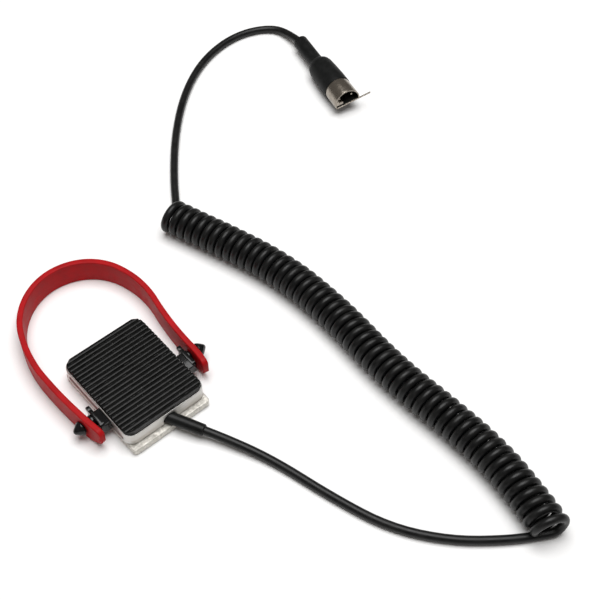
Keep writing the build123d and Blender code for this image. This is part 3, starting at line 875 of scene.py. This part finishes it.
# the tongues at both ends: the edges' (distance from the tip, height above the studs), in mm
tongue_above = [(0.0, 3.8), (0.35, 4.7), (0.9, 5.35), (1.6, 5.8), (2.4, 5.95)]
tongue_below = [(0.0, -0.6), (0.5, -1.5), (1.4, -2.4), (6.8, -5.65), (8.2, -5.95)]


def strap_stations():
    """(centre, heading, distance) along the strap, at its start and after each short step."""
    place, heading, gone = strap_start.copy(), strap_heading, 0.0
    stations = [(place.copy(), heading, gone)]
    for size, turn in strap_stretches:
        count = round(size * MM / station_gap)
        step = size * MM / count
        bend = math.radians(turn) / count
        for _ in range(count):
            middle = heading + bend / 2
            place += Vector((math.cos(middle), math.sin(middle), 0)) * step
            heading += bend
            gone += step
            stations.append((place.copy(), heading, gone))
    return stations


def along_table(table, distance):
    """The height in a table of (distance, height), in millimetres, at a distance in metres."""
    for (start, low), (end, high) in zip(table, table[1:]):
        if distance < end * MM:
            return MM * (low + (high - low) * (distance / MM - start) / (end - start))
    return table[-1][1] * MM


def strap_section(low, high, thickness):
    """The strap's section, (across, up), with rounded edges."""
    section = []
    edge = min(strap_edge, thickness / 2, (high - low) / 2)
    corners = (
        (1, high - edge, 0),
        (-1, high - edge, 90),
        (-1, low + edge, 180),
        (1, low + edge, 270),
    )
    for side, centre_z, first in corners:
        for step in range(corner_steps + 1):
            angle = math.radians(first + 90 / corner_steps * step)
            across = side * (thickness / 2 - edge) + edge * math.cos(angle)
            section.append((across, centre_z + edge * math.sin(angle)))
    return section


def strap_rings():
    """(centre, direction, distance from the nearer tip) along the strap, close by at the tips."""
    stations = strap_stations()
    total = stations[-1][2]
    rings = []
    for centre, heading, gone in stations:
        direction = Vector((math.cos(heading), math.sin(heading), 0))
        from_tip = min(gone, total - gone)
        if from_tip > 0:
            rings.append((centre, direction, from_tip))
            continue
        inward = direction if gone == 0 else -direction
        tip = [(centre + inward * depth * MM, direction, depth * MM) for depth in tip_depths]
        rings += tip if gone == 0 else reversed(tip)
    return rings


def strap_band():
    """The strap as a swept band with its tapered tongues and its two holes."""
    rings = strap_rings()
    points = []
    for place, direction, from_tip in rings:
        left = Vector((-direction.y, direction.x, 0))
        pull = tip_round * max(0.0, 1 - from_tip / tip_round) ** 2
        low = along_table(tongue_below, from_tip) + pull
        high = along_table(tongue_above, from_tip) - pull
        wander = strap_wander * noise.noise(place / strap_wander_size)
        for across, up in strap_section(low, high, strap_t - 2 * pull):
            points.append(place + left * (across + wander) + UP * (stud_z + up))
    per_ring = len(points) // len(rings)
    faces = ring_faces(len(rings), per_ring)
    faces.append(tuple(reversed(range(per_ring))))
    faces.append(tuple(range(len(points) - per_ring, len(points))))
    piece = mesh_piece("strap_band", points, faces)
    bore_outline = [(0, strap_hole_r), (2 * bore_reach, strap_hole_r)]
    bore_start = (-bore_reach, stud_y, stud_z)
    bore = turned_piece(
        "bore", bore_start, (1, 0, 0), bore_outline, rounding=0.01 * MM, segments=48
    )
    cut(piece, bore)
    return settle(piece, sharp_angle=40)


strap = strap_band()
finished(strap, finishes["strap_elastomer"], "strap_elastomer", STRAP, "strap")


# ---- floor and light ----------------------------------------------------------------------
def floor_finish():
    """A matt white table with the faintest tone."""
    finish = Finish("floor", Specular_IOR_Level=0.1)
    tone = finish.clouds(60 * MM)
    finish.colour(finish.between(tone, (0.90, 0.90, 0.90), (0.92, 0.92, 0.92)))
    finish.roughness(finish.spread(tone, 0, 1, 0.85, 0.95))
    return finish.material


floor_half = 3.0
floor_corners = [Vector((x, y, 0)) * floor_half for x, y in ((-1, -1), (1, -1), (1, 1), (-1, 1))]
floor = mesh_piece("floor", floor_corners, [(0, 1, 2, 3)])
floor.data.materials.append(floor_finish())


def soft_light(name, place, target, size, power):
    """A square studio softbox that faces a point."""
    lamp = bpy.data.lights.new(name, "AREA")
    lamp.shape = "SQUARE"
    lamp.size = size
    lamp.energy = power
    light = new_piece(name, lamp)
    light.location = place
    light.rotation_euler = (Vector(target) - Vector(place)).to_track_quat("-Z", "Y").to_euler()


soft_light("overhead", place=(0.12, 0.02, 1.1), target=(0.08, -0.01, 0), size=0.9, power=15)
world = bpy.data.worlds.new("studio")
world.use_nodes = True
surroundings = world.node_tree.nodes["Background"]
surroundings.inputs["Color"].default_value = (0.20, 0.19, 0.18, 1)
surroundings.inputs["Strength"].default_value = 1.0
scene.world = world
scene.view_settings.view_transform = "Standard"
